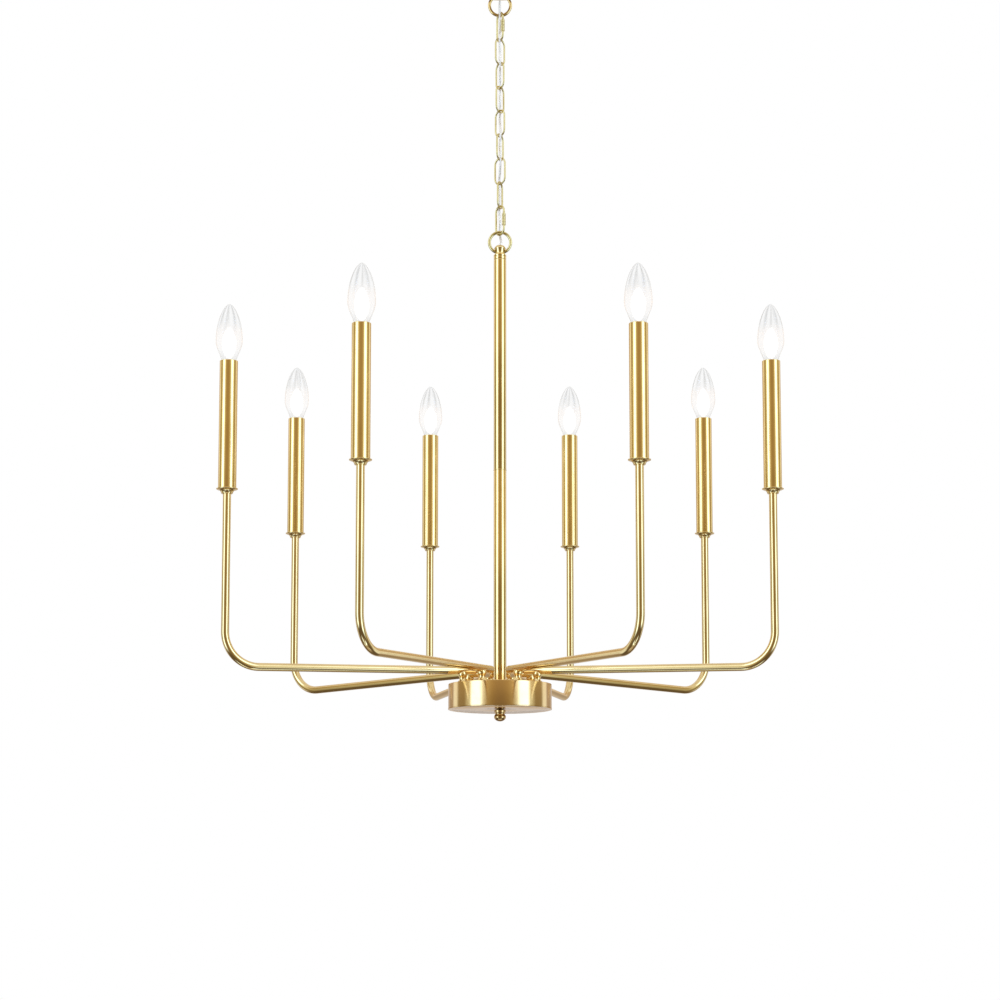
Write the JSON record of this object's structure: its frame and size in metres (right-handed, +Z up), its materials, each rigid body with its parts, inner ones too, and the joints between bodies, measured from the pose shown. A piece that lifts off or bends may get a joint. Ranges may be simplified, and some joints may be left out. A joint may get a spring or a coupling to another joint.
{
  "type": "chandelier",
  "caption": "Candle chandelier: bent arms with candle sleeves and pointed bulbs stand round a drum hub on a long stem, hung by a chain from a ceiling canopy.",
  "frame": {"origin": "centre of the ceiling bracket's top face, in the plane of the ceiling", "axes": "+Z up towards the ceiling, along the stem and chain; -Y towards the front, where the nearest pair of arms stands either side of the middle; +X to the right"},
  "size_m": [0.752, 0.7474, 1.0635],
  "materials": {
    "canopy": "satin",
    "bracket": "zinc plated",
    "chain": "polished",
    "cord": "clear insulation",
    "stem_cap": "polished",
    "stem": "satin",
    "hub": "satin",
    "finial": "polished",
    "arm": "satin",
    "cup": "polished",
    "socket": "satin",
    "sleeve": "satin",
    "bulb": "clear"
  },
  "bodies": {
    "ceiling_mounting": {"canopy": "canopy", "ceiling_bracket": "bracket", "canopy_loop": "chain", "supply_cord": "cord"},
    "quick_link_top": {"quick_link_top": "chain"},
    "chain_link_1": {"chain_link_1": "chain"},
    "chain_link_2": {"chain_link_2": "chain"},
    "chain_link_3": {"chain_link_3": "chain"},
    "chain_link_4": {"chain_link_4": "chain"},
    "chain_link_5": {"chain_link_5": "chain"},
    "chain_link_6": {"chain_link_6": "chain"},
    "chain_link_7": {"chain_link_7": "chain"},
    "quick_link_bottom": {"quick_link_bottom": "chain"},
    "stem_ring": {"stem_ring": "chain"},
    "stem": {"stem_cap": "stem_cap", "stem_upper": "stem", "stem_lower": "stem", "hub_housing": "hub", "hub_cover": "hub"},
    "finial": {"finial": "finial"},
    "arm_1": {"arm_tube_1": "arm", "candle_cup_1": "cup", "lamp_socket_1": "socket"},
    "sleeve_1": {"candle_sleeve_1": "sleeve"},
    "bulb_1": {"bulb_1": "bulb"},
    "arm_2": {"arm_tube_2": "arm", "candle_cup_2": "cup", "lamp_socket_2": "socket"},
    "sleeve_2": {"candle_sleeve_2": "sleeve"},
    "bulb_2": {"bulb_2": "bulb"},
    "arm_3": {"arm_tube_3": "arm", "candle_cup_3": "cup", "lamp_socket_3": "socket"},
    "sleeve_3": {"candle_sleeve_3": "sleeve"},
    "bulb_3": {"bulb_3": "bulb"},
    "arm_4": {"arm_tube_4": "arm", "candle_cup_4": "cup", "lamp_socket_4": "socket"},
    "sleeve_4": {"candle_sleeve_4": "sleeve"},
    "bulb_4": {"bulb_4": "bulb"},
    "arm_5": {"arm_tube_5": "arm", "candle_cup_5": "cup", "lamp_socket_5": "socket"},
    "sleeve_5": {"candle_sleeve_5": "sleeve"},
    "bulb_5": {"bulb_5": "bulb"},
    "arm_6": {"arm_tube_6": "arm", "candle_cup_6": "cup", "lamp_socket_6": "socket"},
    "sleeve_6": {"candle_sleeve_6": "sleeve"},
    "bulb_6": {"bulb_6": "bulb"},
    "arm_7": {"arm_tube_7": "arm", "candle_cup_7": "cup", "lamp_socket_7": "socket"},
    "sleeve_7": {"candle_sleeve_7": "sleeve"},
    "bulb_7": {"bulb_7": "bulb"},
    "arm_8": {"arm_tube_8": "arm", "candle_cup_8": "cup", "lamp_socket_8": "socket"},
    "sleeve_8": {"candle_sleeve_8": "sleeve"},
    "bulb_8": {"bulb_8": "bulb"}
  },
  "joints": [
    {"name": "quick_link_top_swing", "type": "hinge", "parent": "ceiling_mounting", "child": "quick_link_top", "pos_m": [0, 0, -0.0691], "axis": [1, 0, 0], "range_deg": [-8, 8], "deforming": ["supply_cord"]},
    {"name": "chain_link_1_swing", "type": "hinge", "parent": "quick_link_top", "child": "chain_link_1", "pos_m": [0, 0, -0.1064], "axis": [0.4695, -0.8829, 0], "range_deg": [-8, 8], "deforming": ["supply_cord"]},
    {"name": "chain_link_2_swing", "type": "hinge", "parent": "chain_link_1", "child": "chain_link_2", "pos_m": [0, 0, -0.14075], "axis": [0.6626, 0.749, 0], "range_deg": [-8, 8], "deforming": ["supply_cord"]},
    {"name": "chain_link_3_swing", "type": "hinge", "parent": "chain_link_2", "child": "chain_link_3", "pos_m": [0, 0, -0.17525], "axis": [0.5736, -0.8192, 0], "range_deg": [-8, 8], "deforming": ["supply_cord"]},
    {"name": "chain_link_4_swing", "type": "hinge", "parent": "chain_link_3", "child": "chain_link_4", "pos_m": [0, 0, -0.20975], "axis": [0.5664, 0.8241, 0], "range_deg": [-8, 8], "deforming": ["supply_cord"]},
    {"name": "chain_link_5_swing", "type": "hinge", "parent": "chain_link_4", "child": "chain_link_5", "pos_m": [0, 0, -0.24425], "axis": [0.6691, -0.7431, 0], "range_deg": [-8, 8], "deforming": ["supply_cord"]},
    {"name": "chain_link_6_swing", "type": "hinge", "parent": "chain_link_5", "child": "chain_link_6", "pos_m": [0, 0, -0.27875], "axis": [0.4617, 0.887, 0], "range_deg": [-8, 8], "deforming": ["supply_cord"]},
    {"name": "chain_link_7_swing", "type": "hinge", "parent": "chain_link_6", "child": "chain_link_7", "pos_m": [0, 0, -0.31325], "axis": [0.7547, -0.6561, 0], "range_deg": [-8, 8], "deforming": ["supply_cord"]},
    {"name": "quick_link_bottom_swing", "type": "hinge", "parent": "chain_link_7", "child": "quick_link_bottom", "pos_m": [0, 0, -0.34775], "axis": [0.3502, 0.9367, 0], "range_deg": [-8, 8], "deforming": ["supply_cord"]},
    {"name": "stem_ring_swing", "type": "hinge", "parent": "quick_link_bottom", "child": "stem_ring", "pos_m": [0, 0, -0.3859], "axis": [0.6428, -0.766, 0], "range_deg": [-8, 8], "deforming": ["supply_cord"]},
    {"name": "stem_swing", "type": "hinge", "parent": "stem_ring", "child": "stem", "pos_m": [0, 0, -0.4105], "axis": [1, 0, 0], "range_deg": [-8, 8], "deforming": ["supply_cord"]},
    {"name": "finial_turn", "type": "hinge", "parent": "stem", "child": "finial", "pos_m": [0, 0, -1.053], "axis": [0, 0, 1], "continuous": true},
    {"name": "arm_1_swivel", "type": "hinge", "parent": "stem", "child": "arm_1", "pos_m": [-0.02409, -0.04833, -1.013], "axis": [0, 0, 1], "range_deg": [-12, 12]},
    {"name": "bulb_1_lift", "type": "slide", "parent": "arm_1", "child": "bulb_1", "axis": [0, 0, 1], "range_m": [0, 0.24]},
    {"name": "sleeve_1_lift", "type": "slide", "parent": "arm_1", "child": "sleeve_1", "axis": [0, 0, 1], "range_m": [0, 0.18]},
    {"name": "arm_2_swivel", "type": "hinge", "parent": "stem", "child": "arm_2", "pos_m": [-0.05041, -0.01935, -1.013], "axis": [0, 0, 1], "range_deg": [-12, 12]},
    {"name": "bulb_2_lift", "type": "slide", "parent": "arm_2", "child": "bulb_2", "axis": [0, 0, 1], "range_m": [0, 0.24]},
    {"name": "sleeve_2_lift", "type": "slide", "parent": "arm_2", "child": "sleeve_2", "axis": [0, 0, 1], "range_m": [0, 0.18]},
    {"name": "arm_3_swivel", "type": "hinge", "parent": "stem", "child": "arm_3", "pos_m": [-0.04226, 0.03362, -1.013], "axis": [0, 0, 1], "range_deg": [-12, 12]},
    {"name": "bulb_3_lift", "type": "slide", "parent": "arm_3", "child": "bulb_3", "axis": [0, 0, 1], "range_m": [0, 0.24]},
    {"name": "sleeve_3_lift", "type": "slide", "parent": "arm_3", "child": "sleeve_3", "axis": [0, 0, 1], "range_m": [0, 0.18]},
    {"name": "arm_4_swivel", "type": "hinge", "parent": "stem", "child": "arm_4", "pos_m": [-0.01498, 0.05188, -1.013], "axis": [0, 0, 1], "range_deg": [-12, 12]},
    {"name": "bulb_4_lift", "type": "slide", "parent": "arm_4", "child": "bulb_4", "axis": [0, 0, 1], "range_m": [0, 0.24]},
    {"name": "sleeve_4_lift", "type": "slide", "parent": "arm_4", "child": "sleeve_4", "axis": [0, 0, 1], "range_m": [0, 0.18]},
    {"name": "arm_5_swivel", "type": "hinge", "parent": "stem", "child": "arm_5", "pos_m": [0.01498, 0.05188, -1.013], "axis": [0, 0, 1], "range_deg": [-12, 12]},
    {"name": "bulb_5_lift", "type": "slide", "parent": "arm_5", "child": "bulb_5", "axis": [0, 0, 1], "range_m": [0, 0.24]},
    {"name": "sleeve_5_lift", "type": "slide", "parent": "arm_5", "child": "sleeve_5", "axis": [0, 0, 1], "range_m": [0, 0.18]},
    {"name": "arm_6_swivel", "type": "hinge", "parent": "stem", "child": "arm_6", "pos_m": [0.04226, 0.03362, -1.013], "axis": [0, 0, 1], "range_deg": [-12, 12]},
    {"name": "bulb_6_lift", "type": "slide", "parent": "arm_6", "child": "bulb_6", "axis": [0, 0, 1], "range_m": [0, 0.24]},
    {"name": "sleeve_6_lift", "type": "slide", "parent": "arm_6", "child": "sleeve_6", "axis": [0, 0, 1], "range_m": [0, 0.18]},
    {"name": "arm_7_swivel", "type": "hinge", "parent": "stem", "child": "arm_7", "pos_m": [0.05041, -0.01935, -1.013], "axis": [0, 0, 1], "range_deg": [-12, 12]},
    {"name": "bulb_7_lift", "type": "slide", "parent": "arm_7", "child": "bulb_7", "axis": [0, 0, 1], "range_m": [0, 0.24]},
    {"name": "sleeve_7_lift", "type": "slide", "parent": "arm_7", "child": "sleeve_7", "axis": [0, 0, 1], "range_m": [0, 0.18]},
    {"name": "arm_8_swivel", "type": "hinge", "parent": "stem", "child": "arm_8", "pos_m": [0.02409, -0.04833, -1.013], "axis": [0, 0, 1], "range_deg": [-12, 12]},
    {"name": "bulb_8_lift", "type": "slide", "parent": "arm_8", "child": "bulb_8", "axis": [0, 0, 1], "range_m": [0, 0.24]},
    {"name": "sleeve_8_lift", "type": "slide", "parent": "arm_8", "child": "sleeve_8", "axis": [0, 0, 1], "range_m": [0, 0.18]}
  ],
  "couplings": [
    {"joint": "sleeve_1_lift", "follows": "bulb_1_lift", "ratio": 0.75},
    {"joint": "sleeve_2_lift", "follows": "bulb_2_lift", "ratio": 0.75},
    {"joint": "sleeve_3_lift", "follows": "bulb_3_lift", "ratio": 0.75},
    {"joint": "sleeve_4_lift", "follows": "bulb_4_lift", "ratio": 0.75},
    {"joint": "sleeve_5_lift", "follows": "bulb_5_lift", "ratio": 0.75},
    {"joint": "sleeve_6_lift", "follows": "bulb_6_lift", "ratio": 0.75},
    {"joint": "sleeve_7_lift", "follows": "bulb_7_lift", "ratio": 0.75},
    {"joint": "sleeve_8_lift", "follows": "bulb_8_lift", "ratio": 0.75}
  ]
}
